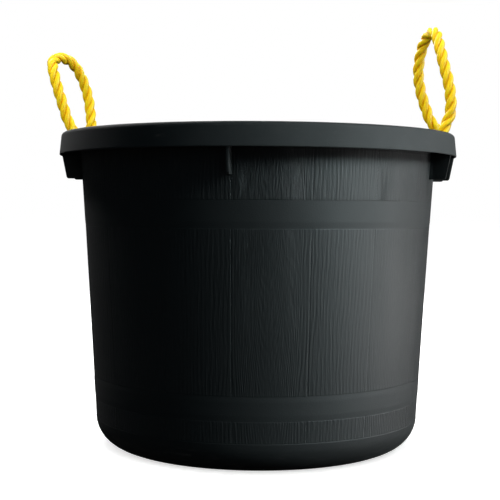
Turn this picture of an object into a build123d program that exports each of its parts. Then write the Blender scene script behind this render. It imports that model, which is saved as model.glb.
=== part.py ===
from build123d import *
import os
from math import atan, degrees, pi, radians, tan

# Round muck bucket: one moulded tub and two rope handles, each knotted under the rim.
# Millimetres. The origin is the middle of the base on the ground, +Z is up, the handles are on X,
# and the front is towards -Y.

# Tub, overall
HEIGHT = 422.0              # ground to the top of the rim
MOUTH_D = 484.6             # outside of the wall, carried up to the top of the rim
BASE_D = 435.0              # outside of the wall, carried down to the ground
WALL_T = 3.4
FLOOR_T = 4.0
BASE_CORNER_R = 42.0        # outside round between wall and base

# Standing ring: the middle of the base is raised
FOOT_D = 300.0              # inner edge of the flat ring that touches the ground
FOOT_RISE = 3.0
FOOT_RUN = 8.0              # width of the slope up to the raised middle

# Wall relief: a ledge above the base, two smooth hoops and a thicker top
LEDGE_Z = 40.0
LEDGE_STEP = 0.5
LOWER_HOOP_Z = 68.0
LOWER_HOOP_W = 29.0
UPPER_HOOP_Z = 299.0
UPPER_HOOP_W = 33.0
HOOP_STEP = 0.6
TOP_STEP = 0.9              # the wall above the upper hoop stands out by this

# Rim: a flat flange with a skirt turned down and flared
RIM_OUT = 27.7              # from the wall to the outside of the skirt's lower edge
FLANGE_T = 4.5
SKIRT_H = 29.5
SKIRT_T = 3.2
SKIRT_FLARE = 3.0           # the skirt's lower edge stands out from its upper edge by this
RIM_EDGE_R = 5.0            # outer round of the rim
LIP_R = 3.0                 # round at the mouth
UNDER_R = 1.0               # rounds in the channel under the flange

# Ribs under the rim: one in front, one behind and three at each handle
RIB_T = 4.0
RIB_DROP = 31.0             # how far a rib reaches below the skirt
RIB_INSET = 3.0             # from the skirt's outer edge to the top of the rib's slope
RIB_SLOPE = 6.0             # the rib's outer edge comes in by this towards its foot
RIB_CORNER_R = 2.5          # round at the outer corner of its foot
HANDLE_RIB_ANGLE = 13.0     # degrees from a handle's middle rib to the ribs beside it

# Rope handles
ROPE_D = 14.3
ROPE_HOLE_PLAY = 1.6        # the rope holes are wider than the rope by this
ROPE_HOLE_ANGLE = 8.5       # degrees from a handle's middle rib to its rope holes
ROPE_HOLE_SINK = 1.0        # broken edge at the top of a hole
BEND_RISE = 1.5             # height above the rim where a loop bends over, in rope diameters
BALL_INSET = 0.1            # the round ends of a loop are smaller than the rope by this, all round
BEND_GAP = 0.8              # between the tip of an upright rope end and the loop that bends over from it
TIP_D = 2.0                 # a rope end comes to a blunt tip, so that the loop can lie over it
TIP_H = 2.8

# Free loop of each handle, from the front bend over the top to the rear bend:
# outwards from the ring of rope holes, along the rim, above the bends
RIGHT_LOOP = [
    (1, -37, 0), (6, -38, 16), (5, -38, 41), (-3, -34, 71), (-10, -25, 99), (-16, -9, 117),
    (-25, 12, 117), (-32, 29, 99), (-35, 37, 69), (-34, 38, 41), (-26, 38, 16), (-13, 37, 0),
]
LEFT_LOOP = [
    (4, -38, 0), (9, -40, 14), (16, -42, 36), (26, -39, 65), (32, -22, 85), (26, 3, 92),
    (15, 25, 84), (6, 41, 62), (-1, 45, 36), (-4, 43, 15), (-3, 39, 0),
]

# Overhand knot, pulled tight: (outwards, along the rim, up) from its own middle, leaning with the wall.
# The second half of the route is the first half turned about the line along the rim.
KNOT_ROPE_D = 9.8           # the rope is squeezed in the knot
KNOT_BACK = 10.6            # from the knot's middle to its side towards the wall
KNOT_THICK = 21.2           # of the knot on this route, from the wall's side to the skirt's
KNOT_PLAY = 0.4             # least room left on either side of a knot
KNOT_TOP = 15.0             # height above its middle where the knot is thickest
KNOT_DROP = 28.0            # from the underside of the flange to the middle of a knot
KNOT_HALF = [
    (0.0, 0.0, 26.0), (5.9, -0.5, 16.6), (4.1, -0.3, 7.2), (-2.7, -3.2, 4.7), (-5.8, -9.5, 1.2),
    (-3.8, -12.6, -11.4), (5.3, -9.6, -14.0), (4.8, 2.7, -15.0), (2.8, 11.7, -4.0),
]
KNOT_JOIN = 1.6             # the rope end meets the knot's rope this far below the top of the rim
TAIL_END = 0.4              # share of the last run that is left as the tail

ARC_SHARE = 0.45            # of the shorter run, taken by each arc of a rope's route


def wall_radius(z):
    """Outside radius of the plain tapered wall at height z."""
    return BASE_D / 2 + (MOUTH_D - BASE_D) / 2 * z / HEIGHT


RIM_R = MOUTH_D / 2 + RIM_OUT
FLANGE_Z = HEIGHT - FLANGE_T
SKIRT_Z = HEIGHT - SKIRT_H


def skirt_inside(z):
    """Inside radius of the flared skirt at height z."""
    return RIM_R - SKIRT_T - SKIRT_FLARE * (z - SKIRT_Z) / SKIRT_H


def wall_side(z):
    """Radius of the wall in the channel under the rim at height z."""
    return wall_radius(z) + TOP_STEP


# A knot lies close to the wall, and is squeezed where the channel under the rim is too narrow for it.
WALL_LEAN = degrees(atan((MOUTH_D - BASE_D) / 2 / HEIGHT))
KNOT_FIT_Z = FLANGE_Z - KNOT_DROP + KNOT_TOP
KNOT_ROOM = skirt_inside(KNOT_FIT_Z) - wall_side(KNOT_FIT_Z) - 2 * KNOT_PLAY
KNOT_SIZE = min(1, KNOT_ROOM / KNOT_THICK)
KNOT_Z = FLANGE_Z - KNOT_DROP * KNOT_SIZE
KNOT_R = wall_side(KNOT_Z) + KNOT_PLAY + KNOT_BACK * KNOT_SIZE


def knot_spot(angle, point):
    """Place of a point of the knot below the rope hole at this angle."""
    middle = Rot(0, 0, angle) * Pos(KNOT_R, 0, KNOT_Z) * Rot(0, WALL_LEAN, 0)
    return (middle * Pos(Vector(*point) * KNOT_SIZE)).position


ROPE_HOLE_R = knot_spot(0, KNOT_HALF[0]).X
ROPE_HOLE_D = ROPE_D + ROPE_HOLE_PLAY
BEND_Z = HEIGHT + BEND_RISE * ROPE_D


def hoop_outline(bottom, width):
    """Points of a hoop that stands out from the wall, going up."""
    top = bottom + width
    return [
        (wall_radius(bottom), bottom),
        (wall_radius(bottom) + HOOP_STEP, bottom),
        (wall_radius(top) + HOOP_STEP, top),
    ]


def make_tub_body():
    """Wall, base and rim as one turned section."""
    hoop_top = UPPER_HOOP_Z + UPPER_HOOP_W
    base_corner = (wall_radius(0) + LEDGE_STEP, 0)
    under_wall = (wall_radius(FLANGE_Z) + TOP_STEP, FLANGE_Z)
    under_skirt = (skirt_inside(FLANGE_Z), FLANGE_Z)
    rim_edge = (RIM_R - SKIRT_FLARE, HEIGHT)
    lip = (wall_radius(HEIGHT) - WALL_T, HEIGHT)
    inner_corner = (wall_radius(FLOOR_T) - WALL_T, FLOOR_T)
    lower_hoop_top = LOWER_HOOP_Z + LOWER_HOOP_W
    outline = [
        (0, FOOT_RISE),
        (FOOT_D / 2 - FOOT_RUN, FOOT_RISE),
        (FOOT_D / 2, 0),
        base_corner,
        (wall_radius(LEDGE_Z) + LEDGE_STEP, LEDGE_Z),
        (wall_radius(LEDGE_Z), LEDGE_Z),
        *hoop_outline(LOWER_HOOP_Z, LOWER_HOOP_W),
        (wall_radius(lower_hoop_top), lower_hoop_top),
        *hoop_outline(UPPER_HOOP_Z, UPPER_HOOP_W),
        (wall_radius(hoop_top) + TOP_STEP, hoop_top),
        under_wall,
        under_skirt,
        (skirt_inside(SKIRT_Z), SKIRT_Z),
        (RIM_R, SKIRT_Z),
        rim_edge,
        lip,
        inner_corner,
        (FOOT_D / 2, FLOOR_T),
        (FOOT_D / 2 - FOOT_RUN, FLOOR_T + FOOT_RISE),
        (0, FLOOR_T + FOOT_RISE),
    ]
    rounds = [
        (base_corner, BASE_CORNER_R),
        (inner_corner, BASE_CORNER_R - WALL_T),
        (under_wall, UNDER_R),
        (under_skirt, UNDER_R),
        (rim_edge, RIM_EDGE_R),
        (lip, LIP_R),
    ]
    with BuildPart() as body:
        with BuildSketch(Plane.XZ) as section:
            with BuildLine():
                Polyline(*outline, close=True)
            make_face()
            for corner, radius in rounds:
                fillet(section.vertices().sort_by_distance(corner)[0], radius)
        revolve(axis=Axis.Z)
    return body.part


def make_rib():
    """One rib on +X, from inside the wall to the skirt and down below it."""
    foot_z = SKIRT_Z - RIB_DROP
    top_z = HEIGHT - FLANGE_T / 2
    outer_r = RIM_R - RIB_INSET
    outline = [
        (wall_radius(foot_z) - WALL_T / 2, foot_z),
        (outer_r - RIB_SLOPE, foot_z),
        (outer_r, SKIRT_Z),
        (skirt_inside(top_z) + SKIRT_T / 2, top_z),
        (wall_radius(top_z) - WALL_T / 2, top_z),
    ]
    with BuildPart() as rib:
        with BuildSketch(Plane.XZ) as side:
            with BuildLine():
                Polyline(*outline, close=True)
            make_face()
            fillet(side.vertices().sort_by_distance(outline[1])[0], RIB_CORNER_R)
        extrude(amount=RIB_T / 2, both=True)
    return rib.part


def hole_places():
    """Handle side (+1 right, -1 left), leg (-1 front, +1 rear) and angle of each rope hole."""
    places = []
    for side in (1, -1):
        for leg in (-1, 1):
            middle = 0 if side > 0 else 180
            places.append((side, leg, middle + side * leg * ROPE_HOLE_ANGLE))
    return places


def make_hole_cutter():
    """Round cutter for a rope hole with its broken upper edge, from the top of the flange."""
    hole_r = ROPE_HOLE_D / 2
    outline = [
        (0, -2 * FLANGE_T), (hole_r, -2 * FLANGE_T), (hole_r, -ROPE_HOLE_SINK),
        (hole_r + 2 * ROPE_HOLE_SINK, ROPE_HOLE_SINK), (0, ROPE_HOLE_SINK),
    ]
    with BuildPart() as cutter:
        with BuildSketch(Plane.XZ):
            with BuildLine():
                Polyline(*outline, close=True)
            make_face()
        revolve(axis=Axis.Z)
    return cutter.part


def make_tub():
    tub = make_tub_body()
    rib = make_rib()
    cutter = make_hole_cutter()
    rib_angles = [90, 270]
    for middle in (0, 180):
        rib_angles += [middle - HANDLE_RIB_ANGLE, middle, middle + HANDLE_RIB_ANGLE]
    for angle in rib_angles:
        tub += Rot(0, 0, angle) * rib
    for side, leg, angle in hole_places():
        tub -= Rot(0, 0, angle) * Pos(ROPE_HOLE_R, 0, HEIGHT) * cutter
    return tub


def arc_radii(points):
    """Largest arcs that each take their share of the shorter run beside them."""
    radii = []
    for before, corner, after in zip(points, points[1:], points[2:]):
        run_in = Vector(corner) - Vector(before)
        run_out = Vector(after) - Vector(corner)
        half_turn = radians(run_in.get_angle(run_out)) / 2
        radii.append(ARC_SHARE * min(run_in.length, run_out.length) / tan(half_turn))
    return radii


def make_rope(name, points, diameter):
    """Round tube along straight runs joined by tangent arcs."""
    radii = arc_radii(points)
    path = FilletPolyline(*points, radius=radii)
    section = Plane(origin=path @ 0, z_dir=path % 0) * Circle(diameter / 2)
    tube = sweep(section, path=path)
    expected = pi * diameter**2 / 4 * path.length
    print(name, "length", round(path.length, 1), "least radius", round(min(radii), 1),
          "volume share", round(tube.volume / expected, 4))
    return tube


def loop_points(side):
    route = RIGHT_LOOP if side > 0 else LEFT_LOOP
    return [Vector(side * (ROPE_HOLE_R + out), along, BEND_Z + up) for out, along, up in route]


def make_loop(name, side):
    """Loop with ball ends, so that it can bend over at the two points where it starts."""
    points = loop_points(side)
    loop = make_rope(name, points, ROPE_D)
    for end in (points[0], points[-1]):
        loop += Pos(end) * Sphere(ROPE_D / 2 - BALL_INSET)
    return loop


def knot_points(angle):
    """Route of one knot: from the rope end above it to the end of its tail."""
    back = [(-out, along, -up) for out, along, up in reversed(KNOT_HALF)]
    join = Rot(0, 0, angle) * Pos(ROPE_HOLE_R, 0, HEIGHT - KNOT_JOIN)
    route = [join.position] + [knot_spot(angle, point) for point in KNOT_HALF + back]
    route[-1] = route[-2] + (route[-1] - route[-2]) * TAIL_END
    return route


def make_rope_end(name, angle, bend):
    """Rope from the knot up through the rim, leaning to where the loop bends."""
    above_rim = (Rot(0, 0, angle) * Pos(ROPE_HOLE_R, 0, HEIGHT + ROPE_D / 2)).position
    lean = (bend - above_rim).normalized()
    shoulder = bend - lean * (ROPE_D / 2 + BEND_GAP + TIP_H)
    rope = make_rope(name, [shoulder, above_rim, knot_points(angle)[0]], ROPE_D)
    tip = Cone(ROPE_D / 2, TIP_D / 2, TIP_H, align=(Align.CENTER, Align.CENTER, Align.MIN))
    return rope + Plane(origin=shoulder, z_dir=lean) * tip


parts = {"tub": make_tub()}
for side, leg, angle in hole_places():
    label = ("right" if side > 0 else "left") + ("_front" if leg < 0 else "_rear")
    bend = loop_points(side)[0 if leg < 0 else -1]
    parts[label + "_rope_end"] = make_rope_end(label + "_rope_end", angle, bend)
    parts[label + "_knot"] = make_rope(label + "_knot", knot_points(angle), KNOT_ROPE_D * KNOT_SIZE)
parts["right_loop"] = make_loop("right_loop", 1)
parts["left_loop"] = make_loop("left_loop", -1)

print("rope holes at radius", round(ROPE_HOLE_R, 3), "knot size", round(KNOT_SIZE, 4))
os.makedirs("parts", exist_ok=True)
for name, solid in parts.items():
    export_step(solid, f"parts/{name}.step")
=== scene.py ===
import math

import bmesh
import bpy
from mathutils import Matrix, Vector
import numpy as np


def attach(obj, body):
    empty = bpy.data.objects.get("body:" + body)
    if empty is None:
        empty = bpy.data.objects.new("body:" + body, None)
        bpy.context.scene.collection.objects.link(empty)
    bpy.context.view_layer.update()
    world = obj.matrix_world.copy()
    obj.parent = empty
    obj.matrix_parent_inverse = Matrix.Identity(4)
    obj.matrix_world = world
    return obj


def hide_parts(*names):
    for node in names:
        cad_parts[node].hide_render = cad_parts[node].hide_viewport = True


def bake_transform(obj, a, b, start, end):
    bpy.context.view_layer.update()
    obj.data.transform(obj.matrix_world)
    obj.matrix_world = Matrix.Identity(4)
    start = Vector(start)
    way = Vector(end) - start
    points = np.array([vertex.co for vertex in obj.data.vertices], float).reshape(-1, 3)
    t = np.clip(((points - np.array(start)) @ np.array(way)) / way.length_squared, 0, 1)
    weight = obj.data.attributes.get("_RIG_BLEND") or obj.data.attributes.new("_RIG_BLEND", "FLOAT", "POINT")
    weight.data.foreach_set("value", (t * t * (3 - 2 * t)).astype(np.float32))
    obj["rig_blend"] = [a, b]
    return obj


# Black moulded muck bucket with two yellow rope handles, on a white studio floor.
# Metres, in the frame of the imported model: +Z up, handles on X, the front towards -Y.

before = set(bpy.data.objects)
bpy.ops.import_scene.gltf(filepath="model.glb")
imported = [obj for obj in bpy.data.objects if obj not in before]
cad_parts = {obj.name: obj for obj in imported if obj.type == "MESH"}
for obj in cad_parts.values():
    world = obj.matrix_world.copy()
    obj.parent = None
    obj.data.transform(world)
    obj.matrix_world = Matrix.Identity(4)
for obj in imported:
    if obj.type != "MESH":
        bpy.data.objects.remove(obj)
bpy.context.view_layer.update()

MM = 0.001
HALF_TURN = math.pi
FULL_TURN = 2 * math.pi

# Colours
BLACK = (0.0005, 0.0012, 0.0016, 1)
DUSTY_BLACK = (0.0012, 0.0020, 0.0024, 1)
SCUFF_GREY = (0.05, 0.05, 0.05, 1)
# Rope: painted shade in the grooves between strands, and the yellow of the crests
SHADED_GROOVE_ORANGE = (0.80, 0.42, 0.003, 1)
SHADED_GROOVE_AMBER = (0.88, 0.54, 0.005, 1)
CREST_YELLOW = (0.88, 0.62, 0.008, 1)
CREST_LEMON = (0.95, 0.74, 0.025, 1)
FLOOR_PAINT = (0.80, 0.80, 0.80, 1)
FLOOR_DIM = (0.03, 0.03, 0.03, 1)
WHITE = (1, 1, 1, 1)

# Sizes of the tub, millimetres and degrees
HEIGHT = 422
FOOT_R = 217.5              # of the wall, carried down to the ground
TAPER = 24.8                # how much the wall's radius grows up to the top
WALL_T = 3.4
FLOOR_T = 4
STANDING_R = 150            # inside of the ring that the bucket stands on
RAISED_R = 142              # of the raised middle of the base
RAISED_Z = 3
FOOT_ROUND = 42
FOOT_PROUD = 0.22           # how far the foot stands out below its ledge
UPPER_HOOP_TOP = 332
RIM_R = 270
RIM_FLARE = 3               # how much the rim's radius grows down to its lower edge
SKIRT_T = 3.2
SKIRT_Z = 392.5             # lower edge of the rim's skirt
FLANGE_Z = 417.5            # underside of the rim's flange
RIB_DROP = 31               # from the skirt's edge down to the foot of a rib
RIB_ANGLE = 13              # from a handle's middle rib to the ribs beside it
ROPE_HOLE_ANGLE = 8.5       # from a handle's middle rib to its two rope holes
ROPE_HOLE_R = 253.815       # of the ring that the rope holes lie on
ROPE_HOLE_D = 15.9

# Sizes of the ropes
ROPE_D = 14.3 * MM
KNOT_ROPE_D = 9.2 * MM      # squeezed
STRANDS = 3
STRAND_R = 0.2620           # in rope diameters, as are the next two
STRAND_OUT = 0.2700         # from the rope's middle to a strand's middle
LAY = 3.47                  # length of one turn of the strands


# Building with nodes

def add(tree, kind, inputs=None, **settings):
    """One node with its settings; an input is given a value or linked to another node's socket."""
    made = tree.nodes.new(kind)
    for name, value in settings.items():
        setattr(made, name, value)
    for name, value in (inputs or {}).items():
        if isinstance(value, bpy.types.NodeSocket):
            tree.links.new(value, made.inputs[name])
        else:
            made.inputs[name].default_value = value
    return made


def calc(tree, operation, *values, clamp=False):
    """The result of one sum on numbers or sockets."""
    numbered = dict(enumerate(values))
    return add(tree, "ShaderNodeMath", numbered, operation=operation, use_clamp=clamp).outputs[0]


def vector_calc(tree, operation, *values):
    made = add(tree, "ShaderNodeVectorMath", dict(enumerate(values)), operation=operation)
    return made.outputs["Value" if operation in ("DOT_PRODUCT", "LENGTH") else "Vector"]


def scaled(tree, vector, amount):
    made = add(tree, "ShaderNodeVectorMath", {0: vector, "Scale": amount}, operation="SCALE")
    return made.outputs["Vector"]


def joined_xyz(tree, x, y, z):
    return add(tree, "ShaderNodeCombineXYZ", {"X": x, "Y": y, "Z": z}).outputs["Vector"]


def split_xyz(tree, vector):
    return add(tree, "ShaderNodeSeparateXYZ", {"Vector": vector}).outputs


def remapped(tree, value, from_low, from_high, to_low, to_high):
    """A soft step from one value to another."""
    inputs = {
        "Value": value, "From Min": from_low, "From Max": from_high, "To Min": to_low, "To Max": to_high,
    }
    made = add(tree, "ShaderNodeMapRange", inputs, interpolation_type="SMOOTHSTEP", clamp=True)
    return made.outputs["Result"]


def noise(tree, vector, scale, detail=2.0, roughness=0.5):
    inputs = {"Vector": vector, "Scale": scale, "Detail": detail, "Roughness": roughness}
    return add(tree, "ShaderNodeTexNoise", inputs).outputs[0]


def board_noise(tree, on_board, fineness, detail=2.0, roughness=0.5):
    """Noise drawn out along the boards, with a pattern of its own on each of them."""
    across, height, board = on_board
    fine_across, fine_along = fineness
    at = joined_xyz(tree, calc(tree, "MULTIPLY", across, fine_across),
                    calc(tree, "MULTIPLY", height, fine_along), board)
    return noise(tree, at, 1.0, detail, roughness)


# A Mix node has sockets of its own for numbers and for colours.

def mixed_number(tree, share, first, second):
    return add(tree, "ShaderNodeMix", {0: share, 2: first, 3: second}, data_type="FLOAT").outputs[0]


def mixed_colour(tree, share, first, second):
    return add(tree, "ShaderNodeMix", {0: share, 6: first, 7: second}, data_type="RGBA").outputs[2]


def new_shape_tree(name, sockets):
    """Geometry Nodes tree with named inputs and one Geometry output."""
    tree = bpy.data.node_groups.new(name, "GeometryNodeTree")
    face = tree.interface
    face.new_socket(name="Geometry", in_out="INPUT", socket_type="NodeSocketGeometry")
    for label, kind in sockets:
        face.new_socket(name=label, in_out="INPUT", socket_type="NodeSocket" + kind)
    face.new_socket(name="Geometry", in_out="OUTPUT", socket_type="NodeSocketGeometry")
    return tree, tree.nodes.new("NodeGroupInput").outputs


def end_tree(tree, geometry, material):
    """Every tree ends in plain faces with their material."""
    real = add(tree, "GeometryNodeRealizeInstances", {"Geometry": geometry}).outputs["Geometry"]
    coated = add(tree, "GeometryNodeSetMaterial", {"Geometry": real, "Material": material})
    out = tree.nodes.new("NodeGroupOutput")
    tree.links.new(coated.outputs["Geometry"], out.inputs["Geometry"])


def keep(tree, geometry, name, value, kind="FLOAT"):
    """Store a value on the points, for the nodes that follow and for the material."""
    inputs = {"Geometry": geometry, "Name": name, "Value": value}
    made = add(tree, "GeometryNodeStoreNamedAttribute", inputs, data_type=kind, domain="POINT")
    return made.outputs["Geometry"]


def kept(tree, name, kind="FLOAT"):
    return add(tree, "GeometryNodeInputNamedAttribute", {"Name": name}, data_type=kind).outputs["Attribute"]


def moved(tree, geometry, **to):
    """Points set to a Position or moved by an Offset."""
    return add(tree, "GeometryNodeSetPosition", {"Geometry": geometry, **to}).outputs["Geometry"]


def new_object(name, data):
    obj = bpy.data.objects.new(name, data)
    bpy.context.scene.collection.objects.link(obj)
    return obj


def plain_mesh(obj):
    """The object's mesh with its modifiers or its spline worked out."""
    view = bpy.context.evaluated_depsgraph_get()
    return bpy.data.meshes.new_from_object(obj.evaluated_get(view), depsgraph=view)


def shaped(obj, tree, values):
    """Run a tree on an object and leave the result as its plain mesh."""
    modifier = obj.modifiers.new("shape", "NODES")
    modifier.node_group = tree
    for item in tree.interface.items_tree:
        if item.in_out == "INPUT" and item.name in values:
            modifier[item.identifier] = values[item.name]
    mesh = plain_mesh(obj)
    obj.modifiers.remove(modifier)
    obj.data = mesh
    mesh.name = obj.name
    return obj


def mesh_of_points(name, points, edges, values=None):
    """Wire mesh with a number on each point for every named value."""
    mesh = bpy.data.meshes.new(name)
    mesh.from_pydata(points, edges, [])
    for label, numbers in (values or {}).items():
        mesh.attributes.new(label, "FLOAT", "POINT").data.foreach_set("value", numbers)
    return mesh


def in_a_row(points):
    """Edges from each point to the next."""
    return [(i, i + 1) for i in range(len(points) - 1)]


# Materials

RING_SPACING = 0.0053       # of the year rings in the boards
HEART_ASIDE = 0.2           # to the heart of a board that isn't cut through it
FOOT_SCUFFS = (0.0, 0.05)   # heights between which the scuffs fade out
RIM_SCUFFS = (0.388, 0.42)  # heights between which they come back
HANDLE_SIDES = (0.20, 0.21)     # distances along X beyond which the handles' ribs stand
OFF_WALL = (0.2435, 0.2445)     # distances from the axis beyond which there are only ribs below the rim
PLASTIC_ROUGH = 0.56
RIM_ROUGHER = 0.16
WEAR_ROUGHER = 0.16
SMEARS_ROUGHER = 0.16
BOARDS_SMOOTHER = 0.08
RIBS_SMOOTHER = 0.27        # at the handles
FIBRE_ROUGH = 0.34
STREAKS_ROUGHER = 0.25


def new_material(name):
    material = bpy.data.materials.new(name)
    material.use_nodes = True
    tree = material.node_tree
    return material, tree, tree.nodes["Principled BSDF"]


def attribute(tree, name, output="Fac"):
    return add(tree, "ShaderNodeAttribute", attribute_name=name).outputs[output]


def coat(tree, shader, colour, rough, bump):
    tree.links.new(colour, shader.inputs["Base Color"])
    tree.links.new(rough, shader.inputs["Roughness"])
    tree.links.new(bump.outputs["Normal"], shader.inputs["Normal"])


def make_tub_plastic():
    """Black polyethylene with moulded boards: year rings and pores on the boards, a fine satin elsewhere."""
    material, tree, shader = new_material("black_moulded_plastic")
    surface = add(tree, "ShaderNodeTexCoord").outputs
    place = surface["Object"]
    position = split_xyz(tree, place)
    height = position["Z"]
    grain = attribute(tree, "grain")
    across = attribute(tree, "across")
    board = attribute(tree, "board")
    on_board = (across, height, board)

    # Every other board is cut through the heart: its year rings open upwards in a V and run straight
    # beside it. On the boards between, the heart lies far to one side.
    chance = add(tree, "ShaderNodeTexWhiteNoise", {"W": board}, noise_dimensions="1D").outputs["Value"]
    shift = calc(tree, "MULTIPLY_ADD", chance, 0.012, -0.004)
    heart = calc(tree, "MULTIPLY_ADD", calc(tree, "FLOORED_MODULO", board, 2), HEART_ASIDE, shift)
    from_heart = vector_calc(tree, "LENGTH", joined_xyz(tree, calc(tree, "ADD", across, heart), 0.004, 0.0))
    drift = calc(tree, "SUBTRACT", board_noise(tree, on_board, (30, 9)), 0.5)
    drifted = calc(tree, "ADD", from_heart, calc(tree, "MULTIPLY", drift, 0.014))
    slope = remapped(tree, from_heart, 0.008, 0.042, 0.28, 0.02)
    ring_at = calc(tree, "SUBTRACT", drifted, calc(tree, "MULTIPLY", height, slope))
    ring = calc(tree, "SINE", calc(tree, "MULTIPLY", ring_at, FULL_TURN / RING_SPACING))
    fade = remapped(tree, board_noise(tree, on_board, (150, 16)), 0.35, 0.65, 0.3, 1.0)
    depth = calc(tree, "MULTIPLY", fade, remapped(tree, from_heart, 0.008, 0.036, 0.09, 0.22))
    pores = board_noise(tree, on_board, (520, 40), 3.0, 0.6)
    wood = calc(tree, "MULTIPLY_ADD", ring, depth, pores)
    above_hoop = remapped(tree, height, (UPPER_HOOP_TOP - 2) * MM, (UPPER_HOOP_TOP + 4) * MM, 1.2, 1.9)
    wood = calc(tree, "MULTIPLY", wood, above_hoop)

    satin = noise(tree, place, 700, 3.0)
    smears = noise(tree, place, 14, 4.0, 0.62)
    plain = calc(tree, "MULTIPLY_ADD", satin, 0.30, calc(tree, "MULTIPLY", smears, 0.09))
    relief = mixed_number(tree, grain, plain, wood)
    bump = add(tree, "ShaderNodeBump", {"Height": relief, "Strength": 0.54, "Distance": 0.6 * MM})

    # Scuffs where the bucket is dragged and knocked: the outside of the foot and the rim's edge
    outside = remapped(tree, split_xyz(tree, surface["Normal"])["Z"], 0.05, 0.3, 1.0, 0.0)
    low = calc(tree, "MULTIPLY", outside, remapped(tree, height, *FOOT_SCUFFS, 1.0, 0.0))
    high = remapped(tree, height, *RIM_SCUFFS, 0.0, 0.55)
    scratch_at = add(tree, "ShaderNodeMapping", {"Vector": place, "Scale": (60, 60, 420)}).outputs["Vector"]
    scratches = remapped(tree, noise(tree, scratch_at, 1.0, 4.0, 0.7), 0.56, 0.72, 0.0, 1.0)
    wear = calc(tree, "MULTIPLY", calc(tree, "MAXIMUM", low, high), scratches)
    dust = remapped(tree, smears, 0.45, 0.8, 0.0, 0.35)
    black = mixed_colour(tree, dust, BLACK, DUSTY_BLACK)
    colour = mixed_colour(tree, calc(tree, "MULTIPLY", wear, 0.4), black, SCUFF_GREY)

    # The rim is the roughest, the boards are a little smoother than the hoops, and the ribs at the handles
    # are the smoothest.
    skirt_edge = (SKIRT_Z - 1) * MM
    rim = remapped(tree, height, skirt_edge, skirt_edge + 1.5 * MM, 0.0, RIM_ROUGHER)
    below_rim = remapped(tree, height, skirt_edge, skirt_edge + 0.7 * MM, 1.0, 0.0)
    beside = remapped(tree, calc(tree, "ABSOLUTE", position["X"]), *HANDLE_SIDES, 0.0, 1.0)
    from_axis = vector_calc(tree, "LENGTH", joined_xyz(tree, position["X"], position["Y"], 0.0))
    off_wall = remapped(tree, from_axis, *OFF_WALL, 0.0, 1.0)
    rib = calc(tree, "MULTIPLY", calc(tree, "MULTIPLY", beside, below_rim), off_wall)
    smeared = calc(tree, "MULTIPLY", smears, SMEARS_ROUGHER)
    worn = calc(tree, "MULTIPLY_ADD", wear, WEAR_ROUGHER, smeared)
    moulded = calc(tree, "MULTIPLY_ADD", rib, -RIBS_SMOOTHER, PLASTIC_ROUGH)
    moulded = calc(tree, "MULTIPLY_ADD", grain, -BOARDS_SMOOTHER, moulded)
    rough = calc(tree, "ADD", calc(tree, "ADD", worn, rim), moulded)

    coat(tree, shader, colour, rough, bump)
    shader.inputs["IOR"].default_value = 1.5
    return material


def make_rope_fibre():
    """Yellow twisted polypropylene: bright on the crowns of the strands, with painted shade that turns it
    orange-brown in the grooves and between the yarns.
    """
    material, tree, shader = new_material("yellow_rope")
    crown = attribute(tree, "crown")
    yarn = attribute(tree, "yarn", "Vector")
    ridge = attribute(tree, "ridge")
    streak_at = add(tree, "ShaderNodeMapping", {"Vector": yarn, "Scale": (2600, 2600, 60)}).outputs["Vector"]
    streaks = noise(tree, streak_at, 1.0, 3.0, 0.6)
    patches = noise(tree, yarn, 70, 3.0, 0.6)

    # Painted shade: the colour goes from the crest yellow on the strands' crowns to a darker orange-brown in
    # the grooves, and darkens between the yarns' ridges
    lit = remapped(tree, crown, -0.15, 0.85, 0.0, 1.0)
    lit = calc(tree, "MULTIPLY", lit, calc(tree, "MULTIPLY_ADD", ridge, 0.22, 0.80), clamp=True)
    groove = mixed_colour(tree, patches, SHADED_GROOVE_ORANGE, SHADED_GROOVE_AMBER)
    crest = mixed_colour(tree, streaks, CREST_YELLOW, CREST_LEMON)
    colour = mixed_colour(tree, lit, groove, crest)
    relief = calc(tree, "MULTIPLY_ADD", patches, 0.2, streaks)
    bump = add(tree, "ShaderNodeBump", {"Height": relief, "Strength": 0.5, "Distance": 0.3 * MM})
    rough = calc(tree, "MULTIPLY_ADD", streaks, STREAKS_ROUGHER, FIBRE_ROUGH)

    coat(tree, shader, colour, rough, bump)
    shader.inputs["Specular IOR Level"].default_value = 0.14
    shader.inputs["Subsurface Weight"].default_value = 0.5
    shader.inputs["Subsurface Radius"].default_value = (1.0, 0.6, 0.1)
    shader.inputs["Subsurface Scale"].default_value = 5 * MM
    return material


tub_plastic = make_tub_plastic()
rope_fibre = make_rope_fibre()


# Tub: an outline turned round the axis

def wall(z):
    """Outside radius of the plain tapered wall."""
    return FOOT_R + TAPER * z / HEIGHT


def skirt_inside(z):
    return RIM_R - SKIRT_T - RIM_FLARE * (z - SKIRT_Z) / (HEIGHT - SKIRT_Z)


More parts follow.
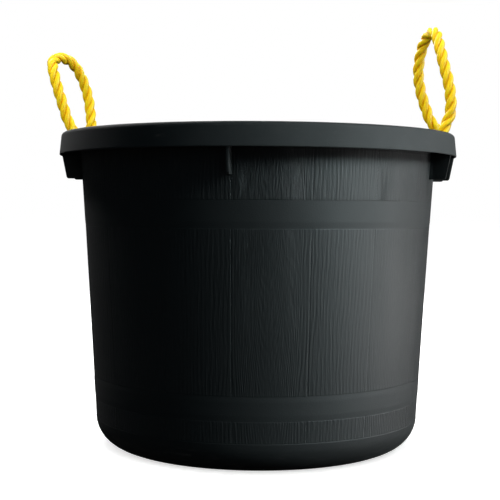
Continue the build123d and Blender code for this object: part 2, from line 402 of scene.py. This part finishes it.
# From the middle of the base up the outside, over the rim and down the inside, millimetres: radius, height,
# round of the corner, and whether the wall from here to the next corner is moulded as boards
OUTLINE = [
    # base
    (0, RAISED_Z, 0, False),
    (RAISED_R, RAISED_Z, 3, False),
    (STANDING_R, 0, 2, False),
    # foot and its ledge
    (wall(0) + FOOT_PROUD, 0, FOOT_ROUND, False),
    (wall(39.5) + FOOT_PROUD, 39.5, 0.6, False),
    (wall(40.5), 40.5, 0.6, True),
    # lower hoop
    (wall(68), 68, 30, False),
    (wall(74) + 0.3, 74, 30, False),
    (wall(91) + 0.3, 91, 30, False),
    (wall(97), 97, 30, True),
    # upper hoop and the thicker top
    (wall(299), 299, 30, False),
    (wall(306) + 0.4, 306, 30, False),
    (wall(UPPER_HOOP_TOP) + 0.5, UPPER_HOOP_TOP, 0, True),
    (wall(FLANGE_Z) + 0.9, FLANGE_Z, 1, False),
    # rim
    (skirt_inside(FLANGE_Z), FLANGE_Z, 1, False),
    (skirt_inside(SKIRT_Z), SKIRT_Z, 0.9, False),
    (RIM_R, SKIRT_Z, 1.0, False),
    (RIM_R - RIM_FLARE, HEIGHT, 5, False),
    # inside
    (wall(HEIGHT) - WALL_T, HEIGHT, 3, False),
    (wall(FLOOR_T) - WALL_T, FLOOR_T, FOOT_ROUND - WALL_T, False),
    (STANDING_R, FLOOR_T, 2, False),
    (RAISED_R, RAISED_Z + FLOOR_T, 3, False),
    (0, RAISED_Z + FLOOR_T, 0, False),
]
ROW_STEP = 7.5              # up the boards
EDGE_ROW = 0.8              # rows beside every round, so that the flats between stay flat


def rounded_corner(at):
    """Points of one corner of the outline, along its round, with more of them on a larger one."""
    r, z, rounding = OUTLINE[at][:3]
    corner = Vector((r, z))
    if rounding == 0:
        return [corner]
    to_last = (Vector(OUTLINE[at - 1][:2]) - corner).normalized()
    to_next = (Vector(OUTLINE[at + 1][:2]) - corner).normalized()
    half = to_last.angle(to_next) / 2
    middle = corner + (to_last + to_next).normalized() * rounding / math.sin(half)
    first = corner + to_last * rounding / math.tan(half) - middle
    last = corner + to_next * rounding / math.tan(half) - middle
    turn = math.atan2(first.x * last.y - first.y * last.x, first.dot(last))
    parts = max(1, round(abs(turn) * (0.9 + rounding ** 0.5 / 1.1)))
    return [middle + Matrix.Rotation(turn * part / parts, 2) @ first for part in range(parts + 1)]


def outline_rows():
    """Points of the outline with rounded corners: radius, height and share of board moulding."""
    rounds = [rounded_corner(at) for at in range(len(OUTLINE))]
    rows = []
    for at, spots in enumerate(rounds):
        rows += [(spot.x, spot.y, 0.0) for spot in spots]
        if at == len(rounds) - 1:
            break
        start, end = spots[-1], rounds[at + 1][0]
        boards = OUTLINE[at][3]
        flat = (end - start).length - 2 * EDGE_ROW
        if flat > EDGE_ROW:
            parts = round(flat / ROW_STEP) if boards else 1
            for part in range(parts + 1):
                spot = start + (end - start).normalized() * (EDGE_ROW + flat * part / parts)
                rows.append((spot.x, spot.y, float(boards)))
    return rows


# Boards round the wall: where each begins, degrees from the front towards +X
BOARD_EDGES = [0, 23.5, 45, 69, 90, 113, 134.5, 158, 180, 203.5, 225, 249, 270, 293, 314.5, 338, 360]
BOARD_COLUMNS = 40
BOARD_MIDDLE_Z = 200        # where a board's width is taken
SEAM_CROWDING = 0.72        # the columns stand closer together beside a seam
SEAM_HALF_WIDTH = 0.9       # of the groove between two boards


def board_ring():
    """One point per column of the tub, with its place on its board and how deep the seam is there."""
    points, across, board, seam = [], [], [], []
    for number, (start, end) in enumerate(zip(BOARD_EDGES, BOARD_EDGES[1:])):
        width = math.radians(end - start) * wall(BOARD_MIDDLE_Z)
        for column in range(BOARD_COLUMNS):
            share = column / BOARD_COLUMNS
            share -= SEAM_CROWDING * math.sin(FULL_TURN * share) / FULL_TURN
            angle = math.radians(start + (end - start) * share)
            from_seam = width * min(share, 1 - share)
            points.append((math.sin(angle), -math.cos(angle), 0))
            across.append((share - 0.5) * width * MM)
            board.append(number)
            seam.append(max(0, 1 - (from_seam / SEAM_HALF_WIDTH) ** 2))
    edges = [(i, (i + 1) % len(points)) for i in range(len(points))]
    return mesh_of_points("board_ring", points, edges, {"across": across, "board": board, "seam": seam})


def make_rib_mesh():
    """One rib under the rim, on +X, a little thinner at its outer edge and its foot."""
    foot, top = SKIRT_Z - RIB_DROP, HEIGHT - 2.2
    edge = RIM_R - 3            # at the skirt, a little way into it
    toe = edge - 6              # at the foot
    in_wall = WALL_T / 2
    in_skirt = SKIRT_T / 2
    # radius, height and half of the thickness
    side = [
        (wall(foot) - in_wall, foot, 2.0),
        (toe - 2.6, foot, 1.85),
        (toe - 0.6, foot + 0.7, 1.8),
        (toe + 0.4, foot + 3.0, 1.8),
        (edge, SKIRT_Z, 1.9),
        (skirt_inside(top) + in_skirt, top, 2.0),
        (wall(top) - in_wall, top, 2.1),
    ]
    shape = bmesh.new()
    faces = []
    for turn in (-1, 1):
        faces.append([shape.verts.new((r * MM, turn * half * MM, z * MM)) for r, z, half in side])
    shape.faces.new(faces[0])
    shape.faces.new(faces[1][::-1])
    for i in range(len(side)):
        j = (i + 1) % len(side)
        shape.faces.new((faces[0][j], faces[0][i], faces[1][i], faces[1][j]))
    bmesh.ops.recalc_face_normals(shape, faces=shape.faces)
    outer_edges = [e for e in shape.edges if all(v.co.x > (wall(foot) + 1) * MM for v in e.verts)]
    bmesh.ops.bevel(shape, geom=outer_edges, offset=0.5 * MM, segments=2, affect="EDGES", profile=0.5)
    mesh = bpy.data.meshes.new("rib")
    shape.to_mesh(mesh)
    shape.free()
    return mesh


HOLE_SIDES = 40
DRILL_DEPTH = 30 * MM
HOLE_BREAK = 1.0 * MM       # of a hole's upper edge, at 45 degrees
SOFT_EDGE = math.radians(38)    # edges turned by less are shaded smooth


def without_doubles(tree, mesh):
    inputs = {"Geometry": mesh, "Distance": 0.01 * MM}
    return add(tree, "GeometryNodeMergeByDistance", inputs).outputs["Geometry"]


def shade_smooth(tree, geometry, where, domain="FACE"):
    inputs = {"Geometry": geometry, "Shade Smooth": where}
    return add(tree, "GeometryNodeSetShadeSmooth", inputs, domain=domain).outputs["Geometry"]


def make_tub_tree():
    """Turn the outline round the ring of boards, then add the ribs and cut the rope holes."""
    tree, given = new_shape_tree("turned_tub", [
        ("Rows", "Int"), ("Columns", "Int"), ("Board ring", "Object"), ("Rib", "Object"),
        ("Seam depth", "Float"), ("Board relief", "Float"), ("Rib angle", "Float"),
        ("Hole angle", "Float"), ("Hole ring radius", "Float"), ("Hole diameter", "Float"),
        ("Rim height", "Float"), ("Material", "Material"),
    ])
    ring = add(tree, "GeometryNodeObjectInfo", {"Object": given["Board ring"]}).outputs["Geometry"]
    shell = add(tree, "GeometryNodeMeshGrid", {
        "Size X": 1.0, "Size Y": 1.0,
        "Vertices X": given["Rows"], "Vertices Y": calc(tree, "ADD", given["Columns"], 1),
    }).outputs["Mesh"]
    position = add(tree, "GeometryNodeInputPosition").outputs["Position"]
    on_grid = split_xyz(tree, position)
    last_row = calc(tree, "SUBTRACT", given["Rows"], 1)
    row = calc(tree, "ROUND", calc(tree, "MULTIPLY", calc(tree, "ADD", on_grid["X"], 0.5), last_row))
    columns = given["Columns"]
    column = calc(tree, "ROUND", calc(tree, "MULTIPLY", calc(tree, "ADD", on_grid["Y"], 0.5), columns))
    column = calc(tree, "FLOORED_MODULO", column, columns)

    def picked(geometry, value, index, kind="FLOAT"):
        inputs = {"Geometry": geometry, "Value": value, "Index": index}
        return add(tree, "GeometryNodeSampleIndex", inputs, data_type=kind, domain="POINT").outputs["Value"]

    profile = split_xyz(tree, picked(given["Geometry"], position, row, "FLOAT_VECTOR"))
    outwards = picked(ring, position, column, "FLOAT_VECTOR")
    boards = picked(given["Geometry"], kept(tree, "boards"), row)
    seam = picked(ring, kept(tree, "seam"), column)
    number = picked(ring, kept(tree, "board"), column)
    across = picked(ring, kept(tree, "across"), column)

    # Long shallow waves along the boards, and a groove at each seam
    waves = calc(tree, "SUBTRACT", board_noise(tree, (across, profile["Z"], number), (75, 9)), 0.5)
    groove = calc(tree, "MULTIPLY", seam, given["Seam depth"])
    relief = calc(tree, "SUBTRACT", calc(tree, "MULTIPLY", waves, given["Board relief"]), groove)
    radius = calc(tree, "MULTIPLY_ADD", relief, boards, profile["X"])
    upright = joined_xyz(tree, 0.0, 0.0, profile["Z"])
    surface = vector_calc(tree, "ADD", scaled(tree, outwards, radius), upright)

    for label, value in (("grain", boards), ("across", across), ("board", number)):
        shell = keep(tree, shell, label, value)
    shell = without_doubles(tree, moved(tree, shell, Position=surface))
    shell = add(tree, "GeometryNodeFlipFaces", {"Mesh": shell}).outputs["Mesh"]

    index = add(tree, "GeometryNodeInputIndex").outputs["Index"]

    def placed_round(count, angle, instance):
        points = add(tree, "GeometryNodePoints", {"Count": count}).outputs["Points"]
        inputs = {"Points": points, "Instance": instance, "Rotation": joined_xyz(tree, 0.0, 0.0, angle)}
        placed = add(tree, "GeometryNodeInstanceOnPoints", inputs).outputs["Instances"]
        return add(tree, "GeometryNodeRealizeInstances", {"Geometry": placed}).outputs["Geometry"]

    def at_handle(per_handle, step, angle):
        """Angles of the things side by side at the right handle, and then at the left one."""
        left = calc(tree, "FLOOR", calc(tree, "DIVIDE", index, per_handle))
        turn = calc(tree, "MULTIPLY_ADD", calc(tree, "FLOORED_MODULO", index, per_handle), step, -1)
        return calc(tree, "MULTIPLY_ADD", turn, angle, calc(tree, "MULTIPLY", left, HALF_TURN))

    # Three ribs at each handle, one in front and one behind
    rib = add(tree, "GeometryNodeObjectInfo", {"Object": given["Rib"]}).outputs["Geometry"]
    front_and_back = calc(tree, "MULTIPLY_ADD", index, HALF_TURN, HALF_TURN / 2)
    ribs = add(tree, "GeometryNodeJoinGeometry")
    tree.links.new(placed_round(6, at_handle(3, 1, given["Rib angle"]), rib), ribs.inputs[0])
    tree.links.new(placed_round(2, front_and_back, rib), ribs.inputs[0])

    # Two rope holes at each handle, with a broken upper edge
    hole_angle = at_handle(2, 2, given["Hole angle"])
    hole_r = calc(tree, "MULTIPLY", given["Hole diameter"], 0.5)
    drill = add(tree, "GeometryNodeMeshCylinder", {
        "Vertices": HOLE_SIDES, "Radius": hole_r, "Depth": DRILL_DEPTH,
    }, fill_type="NGON").outputs["Mesh"]
    countersink = add(tree, "GeometryNodeMeshCone", {
        "Vertices": HOLE_SIDES, "Radius Top": calc(tree, "ADD", hole_r, 3 * HOLE_BREAK),
        "Radius Bottom": calc(tree, "SUBTRACT", hole_r, HOLE_BREAK), "Depth": 4 * HOLE_BREAK,
    }, fill_type="NGON").outputs["Mesh"]

    body = shell
    for cutter, drop in ((drill, 0.0), (countersink, 2 * HOLE_BREAK)):
        lift = calc(tree, "SUBTRACT", given["Rim height"], drop)
        at_hole = add(tree, "GeometryNodeTransform", {
            "Geometry": cutter, "Translation": joined_xyz(tree, given["Hole ring radius"], 0.0, lift)})
        cut = add(tree, "GeometryNodeMeshBoolean", operation="DIFFERENCE", solver="MANIFOLD")
        tree.links.new(body, cut.inputs[0])
        tree.links.new(placed_round(4, hole_angle, at_hole.outputs["Geometry"]), cut.inputs[1])
        body = cut.outputs["Mesh"]
    whole = add(tree, "GeometryNodeMeshBoolean", operation="UNION", solver="MANIFOLD")
    tree.links.new(body, whole.inputs[1])
    tree.links.new(ribs.outputs[0], whole.inputs[1])

    whole = without_doubles(tree, whole.outputs["Mesh"])
    crease = add(tree, "GeometryNodeInputMeshEdgeAngle").outputs["Unsigned Angle"]
    smooth = shade_smooth(tree, whole, True)
    smooth = shade_smooth(tree, smooth, calc(tree, "LESS_THAN", crease, SOFT_EDGE), "EDGE")
    end_tree(tree, smooth, given["Material"])
    return tree


rows = outline_rows()
outline_points = [(r * MM, 0, z * MM) for r, z, boards in rows]
outline_boards = [boards for r, z, boards in rows]
outline_mesh = mesh_of_points("tub_outline", outline_points, in_a_row(rows), {"boards": outline_boards})
board_ring_object = new_object("board_ring", board_ring())
rib_object = new_object("rib_pattern", make_rib_mesh())
tub = shaped(new_object("tub_moulding", outline_mesh), make_tub_tree(), {
    "Rows": len(rows),
    "Columns": len(board_ring_object.data.vertices),
    "Board ring": board_ring_object,
    "Rib": rib_object,
    "Seam depth": 0.23 * MM,
    "Board relief": 0.10 * MM,
    "Rib angle": math.radians(RIB_ANGLE),
    "Hole angle": math.radians(ROPE_HOLE_ANGLE),
    "Hole ring radius": ROPE_HOLE_R * MM,
    "Hole diameter": ROPE_HOLE_D * MM,
    "Rim height": HEIGHT * MM,
    "Material": tub_plastic,
})
for pattern in (board_ring_object, rib_object):
    bpy.data.objects.remove(pattern)
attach(tub, "tub")
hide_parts("tub")


# Ropes: three strands, each of twisted yarns, laid along a smooth line

def make_rope_tree():
    """Three strands wound round the line, with the ridges of their yarns."""
    tree, given = new_shape_tree("laid_rope", [
        ("Diameter", "Float"), ("Lay", "Float"), ("Step", "Float"), ("Sides", "Int"),
        ("Yarns", "Int"), ("Yarn height", "Float"), ("Material", "Material"),
    ])
    normal = add(tree, "GeometryNodeInputNormal").outputs["Normal"]
    tangent = add(tree, "GeometryNodeInputTangent").outputs["Tangent"]
    spline = add(tree, "GeometryNodeSplineParameter").outputs

    line = add(tree, "GeometryNodeMeshToCurve", {"Mesh": given["Geometry"]}).outputs["Curve"]
    inputs = {"Curve": line, "Length": given["Step"]}
    line = add(tree, "GeometryNodeResampleCurve", inputs, mode="LENGTH").outputs["Curve"]
    line = add(tree, "GeometryNodeSetCurveNormal", {"Curve": line}, mode="MINIMUM_TWIST").outputs["Curve"]
    line = keep(tree, line, "along", spline["Length"])
    line = keep(tree, line, "first_side", normal, "FLOAT_VECTOR")
    line = keep(tree, line, "ahead", tangent, "FLOAT_VECTOR")

    inputs = {"Geometry": line, "Amount": STRANDS}
    strands = add(tree, "GeometryNodeDuplicateElements", inputs, domain="SPLINE").outputs
    share = calc(tree, "DIVIDE", strands["Duplicate Index"], STRANDS)
    turns_along = calc(tree, "DIVIDE", kept(tree, "along"), given["Lay"])
    angle = calc(tree, "MULTIPLY", calc(tree, "ADD", turns_along, share), FULL_TURN)
    first_side = kept(tree, "first_side", "FLOAT_VECTOR")
    second_side = vector_calc(tree, "CROSS_PRODUCT", kept(tree, "ahead", "FLOAT_VECTOR"), first_side)
    out = vector_calc(tree, "ADD", scaled(tree, first_side, calc(tree, "COSINE", angle)),
                      scaled(tree, second_side, calc(tree, "SINE", angle)))
    laid = keep(tree, strands["Geometry"], "out", out, "FLOAT_VECTOR")
    out = kept(tree, "out", "FLOAT_VECTOR")
    laid = moved(tree, laid, Offset=scaled(tree, out, calc(tree, "MULTIPLY", given["Diameter"], STRAND_OUT)))

    strand_r = calc(tree, "MULTIPLY", given["Diameter"], STRAND_R)
    inputs = {"Resolution": given["Sides"], "Radius": strand_r}
    section = add(tree, "GeometryNodeCurvePrimitiveCircle", inputs).outputs["Curve"]
    section = keep(tree, section, "around", spline["Factor"])
    inputs = {"Curve": laid, "Profile Curve": section, "Fill Caps": True}
    tubes = add(tree, "GeometryNodeCurveToMesh", inputs).outputs["Mesh"]

    # Yarns turn the other way, so they run along the rope
    yarn_angle = calc(tree, "MULTIPLY", calc(tree, "ADD", kept(tree, "around"), turns_along), FULL_TURN)
    yarn_x = calc(tree, "MULTIPLY", calc(tree, "COSINE", yarn_angle), strand_r)
    yarn_y = calc(tree, "MULTIPLY", calc(tree, "SINE", yarn_angle), strand_r)
    ridge = calc(tree, "COSINE", calc(tree, "MULTIPLY", yarn_angle, given["Yarns"]))
    tubes = keep(tree, tubes, "crown", vector_calc(tree, "DOT_PRODUCT", normal, out))
    tubes = keep(tree, tubes, "ridge", ridge)
    tubes = keep(tree, tubes, "yarn", joined_xyz(tree, yarn_x, yarn_y, kept(tree, "along")), "FLOAT_VECTOR")
    swell = calc(tree, "MULTIPLY", kept(tree, "ridge"), given["Yarn height"])
    tubes = moved(tree, tubes, Offset=scaled(tree, normal, swell))
    for label in ("along", "out", "first_side", "ahead", "around"):
        inputs = {"Geometry": tubes, "Name": label}
        tubes = add(tree, "GeometryNodeRemoveAttribute", inputs).outputs["Geometry"]
    end_tree(tree, shade_smooth(tree, tubes, True), given["Material"])
    return tree


laid_rope = make_rope_tree()


def smooth_line(points):
    """Points along the smooth line that a rope follows."""
    curve = bpy.data.curves.new("rope_line", "CURVE")
    curve.dimensions = "3D"
    curve.resolution_u = 24
    spline = curve.splines.new("NURBS")
    spline.points.add(len(points) - 1)
    for point, (x, y, z) in zip(spline.points, points):
        point.co = (x, y, z, 1)
    spline.order_u = 3
    spline.use_endpoint_u = True
    holder = new_object("rope_line", curve)
    mesh = plain_mesh(holder)
    line = [v.co.copy() for v in mesh.vertices]
    bpy.data.objects.remove(holder)
    bpy.data.meshes.remove(mesh)
    return line


def lay_rope(name, line, diameter):
    wire = mesh_of_points(name, line, in_a_row(line))
    return shaped(new_object(name, wire), laid_rope, {
        "Diameter": diameter,
        "Lay": LAY * diameter,
        "Step": 1.15 * MM,
        "Sides": 40,
        "Yarns": 10,
        "Yarn height": 0.015 * diameter,
        "Material": rope_fibre,
    })


# Routes of the two handles from the front rope hole over the loop to the rear one
RIGHT_ROUTE = [
    (0.2510, -0.0375, 0.4204), (0.2510, -0.0375, 0.4292), (0.2588, -0.0364, 0.4424),
    (0.2610, -0.0378, 0.4594), (0.2584, -0.0381, 0.4848), (0.2505, -0.0340, 0.5142),
    (0.2442, -0.0249, 0.5429), (0.2398, -0.0087, 0.5608), (0.2305, 0.0122, 0.5602),
    (0.2217, 0.0290, 0.5421), (0.2174, 0.0368, 0.5122), (0.2215, 0.0382, 0.4856),
    (0.2293, 0.0382, 0.4609), (0.2370, 0.0364, 0.4405), (0.2510, 0.0375, 0.4292),
    (0.2510, 0.0375, 0.4204),
]
LEFT_ROUTE = [
    (-0.2510, -0.0375, 0.4204), (-0.2510, -0.0375, 0.4292), (-0.2585, -0.0386, 0.4388),
    (-0.2634, -0.0400, 0.4555), (-0.2705, -0.0421, 0.4791), (-0.2798, -0.0390, 0.5083),
    (-0.2873, -0.0222, 0.5276), (-0.2800, 0.0030, 0.5348), (-0.2694, 0.0249, 0.5277),
    (-0.2607, 0.0409, 0.5052), (-0.2536, 0.0449, 0.4791), (-0.2507, 0.0429, 0.4580),
    (-0.2479, 0.0394, 0.4429), (-0.2510, 0.0375, 0.4292), (-0.2510, 0.0375, 0.4204),
]

# Overhand knot under a rope hole, leaning with the wall: millimetres outwards, along the rim and up from its
# middle, whose own place is a radius and a height
KNOT_MIDDLE = (252.29, 389.5)
KNOT_LEAN = math.atan(TAPER / HEIGHT)
KNOT_ROUTE = [
    (-0.29, 0.0, 30.94), (0.0, 0.0, 26.0), (5.5, -0.5, 18.1), (3.7, -0.3, 8.7), (-3.1, -3.2, 6.2),
    (-6.2, -9.5, 2.7), (-4.2, -12.6, -9.9), (4.0, -9.6, -12.3), (3.5, 2.7, -13.3), (2.2, 11.7, -2.5),
    (-3.2, 11.7, 5.5), (-5.2, 2.7, 16.5), (-5.7, -9.6, 15.5), (3.4, -12.6, 12.9), (5.2, -9.5, 0.3),
    (2.3, -3.2, -3.2), (-4.5, -0.3, -5.7), (-6.3, -0.5, -15.1), (-3.94, -0.3, -18.9),
]

# Melted end of a rope
BUTTON_R = 0.5              # in rope diameters
BUTTON_HALF_T = 0.2         # in rope diameters
BUTTON_LUMPS = 0.035        # how far they stand out, as a share of the button's size
BUTTON_CROWN = 0.25         # its shade, between a strand's grooves and its crest
BUTTON_SIDES = 28
BUTTON_RINGS = 14


def add_melted_end(obj, line, diameter):
    """The cut end of a rope is melted into a lumpy button."""
    end = line[-1]
    facing = (end - line[-2]).normalized().to_track_quat("Z", "Y").to_matrix()
    shape = bmesh.new()
    shape.from_mesh(obj.data)
    crown = shape.verts.layers.float["crown"]

    def lumpy_point(ring, side):
        down, round_it = HALF_TURN * ring / BUTTON_RINGS, FULL_TURN * side / BUTTON_SIDES
        out = BUTTON_R * math.sin(down)
        part = Vector((out * math.cos(round_it), out * math.sin(round_it), BUTTON_HALF_T * math.cos(down)))
        part = facing @ part * diameter
        wave = math.sin(part.x * 1700) + math.sin(part.y * 1500 + 1) + math.sin(part.z * 1900 + 2)
        vert = shape.verts.new(end + part * (1 + BUTTON_LUMPS * wave))
        vert[crown] = BUTTON_CROWN
        return vert

    tip = lumpy_point(0, 0)
    rings = [[lumpy_point(ring, side) for side in range(BUTTON_SIDES)] for ring in range(1, BUTTON_RINGS)]
    root = lumpy_point(BUTTON_RINGS, 0)
    for side in range(BUTTON_SIDES):
        after = (side + 1) % BUTTON_SIDES
        shape.faces.new((tip, rings[0][side], rings[0][after]))
        for ring, below in zip(rings, rings[1:]):
            shape.faces.new((ring[side], below[side], below[after], ring[after]))
        shape.faces.new((rings[-1][side], root, rings[-1][after]))
    for face in shape.faces:
        face.smooth = True
    shape.to_mesh(obj.data)
    shape.free()


def knot_line(angle):
    turn = Matrix.Rotation(math.radians(angle), 3, "Z")
    lean = Matrix.Rotation(KNOT_LEAN, 3, "Y")
    radius, height = KNOT_MIDDLE
    middle = Vector((radius, 0, height))
    return smooth_line([turn @ (middle + lean @ Vector(point)) * MM for point in KNOT_ROUTE])


for side, route, middle in (("right", RIGHT_ROUTE, 0), ("left", LEFT_ROUTE, 180)):
    for leg, turn in (("front", -1), ("rear", 1)):
        angle = middle + (turn if side == "right" else -turn) * ROPE_HOLE_ANGLE
        line = knot_line(angle)
        knot = lay_rope(f"{side}_{leg}_rope_knot", line, KNOT_ROPE_D)
        add_melted_end(knot, line, KNOT_ROPE_D)
        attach(knot, f"{side}_rope")
        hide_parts(f"{side}_{leg}_knot")
    line = smooth_line(route)
    rope = lay_rope(f"{side}_rope_handle", line, ROPE_D)
    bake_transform(rope, f"{side}_rope", f"{side}_loop", start=(0, 0, 0.432), end=(0, 0, 0.457))
    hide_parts(f"{side}_loop", f"{side}_front_rope_end", f"{side}_rear_rope_end")


# Studio

FLOOR_REACH = 30
ROOM_LIGHT = 0.012          # of the dim room, where white is 1
MIRRORED_WHITE = 0.06       # share of the white background that the bucket mirrors, straight behind it
WHITE_LIGHT = (1, 1, 1)
COOL_LIGHT = (0.74, 0.97, 1.0)

# Softboxes that the bucket mirrors, with no light on matt faces: place, target, width, height, power, colour
SHEEN_LIGHTS = {
    "key": ((3.00, 0.00, 1.58), (0, 0, 0.30), 2.2, 1.0, 112, WHITE_LIGHT),
    "front": ((2.95, -1.10, 1.60), (0, 0, 0.30), 0.9, 1.0, 162, COOL_LIGHT),
    "back": ((-0.60, 3.00, 1.58), (0, 0, 0.30), 1.8, 1.0, 160, WHITE_LIGHT),
    "low_right": ((1.05, 0.10, 0.07), (0, 0, 0.05), 0.8, 0.12, 3.2, WHITE_LIGHT),
    "rear_left": ((-1.45, 0.95, 2.1), (0, 0, 0.40), 0.9, 0.7, 60, WHITE_LIGHT),
}
# Softboxes that light matt faces and aren't mirrored
MATT_LIGHTS = {
    "fill": ((0.5, -2.2, 1.3), (0, 0, 0.45), 2.4, 2.0, 56, WHITE_LIGHT),
    "back_fill": ((-0.5, 2.2, 1.3), (0, 0, 0.45), 2.4, 2.0, 44, WHITE_LIGHT),
    "right_fill": ((2.2, 0.3, 1.3), (0, 0, 0.45), 2.4, 2.0, 32, WHITE_LIGHT),
    "left_fill": ((-2.2, -0.3, 1.3), (0, 0, 0.45), 2.4, 2.0, 26, WHITE_LIGHT),
    "overhead": ((0, 0, 2.6), (0, 0, 0), 2.5, 2.5, 60, WHITE_LIGHT),
}

# Camera, fitted to the photograph's outlines
PICTURE_SIZE = 500          # pixels
FOCAL_LENGTH = 1099.69      # pixels
SENSOR_WIDTH = 36
CAMERA_DISTANCE = 1.52316   # from the bucket's axis
CAMERA_HEIGHT = 0.31923
CAMERA_AZIMUTH = math.radians(7.6)      # from the front towards +X
CAMERA_YAW = -0.00648
CAMERA_PITCH = -0.03569
CAMERA_ROLL = 0.00654


def seen_white(tree, paths):
    """1 where the camera sees the floor or the background, and 0 for the light that they give."""
    return calc(tree, "ADD", paths["Is Camera Ray"], paths["Is Transmission Ray"], clamp=True)


def make_floor():
    """White to the camera with a faint shadow round the bucket, and dim in what the bucket mirrors."""
    material, tree, shader = new_material("white_floor")
    tree.nodes.remove(shader)
    seen = seen_white(tree, add(tree, "ShaderNodeLightPath").outputs)
    away = vector_calc(tree, "LENGTH", add(tree, "ShaderNodeTexCoord").outputs["Object"])
    strength = remapped(tree, away, 0.30, 1.2, 0.60, 1.0)
    paint = add(tree, "ShaderNodeBsdfDiffuse", {"Color": FLOOR_PAINT}).outputs[0]
    glow = add(tree, "ShaderNodeEmission", {"Color": WHITE, "Strength": strength}).outputs[0]
    white = add(tree, "ShaderNodeAddShader", {0: paint, 1: glow}).outputs[0]
    dim = add(tree, "ShaderNodeBsdfDiffuse", {"Color": FLOOR_DIM}).outputs[0]
    mix = add(tree, "ShaderNodeMixShader", {0: seen, 1: dim, 2: white}).outputs[0]
    tree.links.new(mix, tree.nodes["Material Output"].inputs["Surface"])
    mesh = bpy.data.meshes.new("floor")
    corners = [(x * FLOOR_REACH, y * FLOOR_REACH, 0) for x, y in ((-1, -1), (1, -1), (1, 1), (-1, 1))]
    mesh.from_pydata(corners, [], [(0, 1, 2, 3)])
    mesh.materials.append(material)
    floor = new_object("floor", mesh)


def make_world():
    """White to the camera and faintly mirrored behind the bucket; the room itself is dim."""
    world = bpy.data.worlds.new("studio")
    world.use_nodes = True
    bpy.context.scene.world = world
    tree = world.node_tree
    tree.nodes.clear()
    paths = add(tree, "ShaderNodeLightPath").outputs
    way = split_xyz(tree, add(tree, "ShaderNodeTexCoord").outputs["Generated"])
    behind = calc(tree, "MULTIPLY", remapped(tree, way["Y"], 0.3, 1.0, 0.0, 1.0), MIRRORED_WHITE)
    mirrored = calc(tree, "MULTIPLY", paths["Is Glossy Ray"], behind)
    seen = calc(tree, "MAXIMUM", seen_white(tree, paths), mirrored)
    room = add(tree, "ShaderNodeBackground", {"Color": WHITE, "Strength": ROOM_LIGHT}).outputs[0]
    white = add(tree, "ShaderNodeBackground", {"Color": WHITE, "Strength": 1.0}).outputs[0]
    mix = add(tree, "ShaderNodeMixShader", {0: seen, 1: room, 2: white}).outputs[0]
    out = add(tree, "ShaderNodeOutputWorld")
    tree.links.new(mix, out.inputs["Surface"])


def add_softbox(name, place, target, width, height, power, colour, sheen):
    """Soft light that is never in the picture itself. It makes sheen, or else lights matt faces."""
    data = bpy.data.lights.new(name, "AREA")
    data.shape = "RECTANGLE"
    data.size = width
    data.size_y = height
    data.energy = power
    data.color = colour
    light = new_object(name, data)
    light.visible_camera = False
    light.visible_glossy = sheen
    light.visible_diffuse = not sheen
    light.location = place
    light.rotation_euler = (Vector(target) - Vector(place)).to_track_quat("-Z", "Y").to_euler()


def add_camera():
    """The photograph's view: from the front, a little to the right and just below the rim."""
    data = bpy.data.cameras.new("camera")
    data.sensor_width = SENSOR_WIDTH
    data.lens = SENSOR_WIDTH * FOCAL_LENGTH / PICTURE_SIZE
    camera = new_object("camera", data)
    to_axis = Vector((-math.sin(CAMERA_AZIMUTH), math.cos(CAMERA_AZIMUTH), 0))
    to_right = Vector((math.cos(CAMERA_AZIMUTH), math.sin(CAMERA_AZIMUTH), 0))
    up = Vector((0, 0, 1))
    level = to_right * math.sin(CAMERA_YAW) + to_axis * math.cos(CAMERA_YAW)
    forward = level * math.cos(CAMERA_PITCH) + up * math.sin(CAMERA_PITCH)
    turn = forward.to_track_quat("-Z", "Y").to_matrix() @ Matrix.Rotation(CAMERA_ROLL, 3, "Z")
    place = -to_axis * CAMERA_DISTANCE + up * CAMERA_HEIGHT
    camera.matrix_world = Matrix.Translation(place) @ turn.to_4x4()
    bpy.context.scene.camera = camera


make_floor()
make_world()
for lights, sheen in ((SHEEN_LIGHTS, True), (MATT_LIGHTS, False)):
    for name, settings in lights.items():
        add_softbox(name, *settings, sheen)
add_camera()
bpy.context.scene.view_settings.view_transform = "Standard"
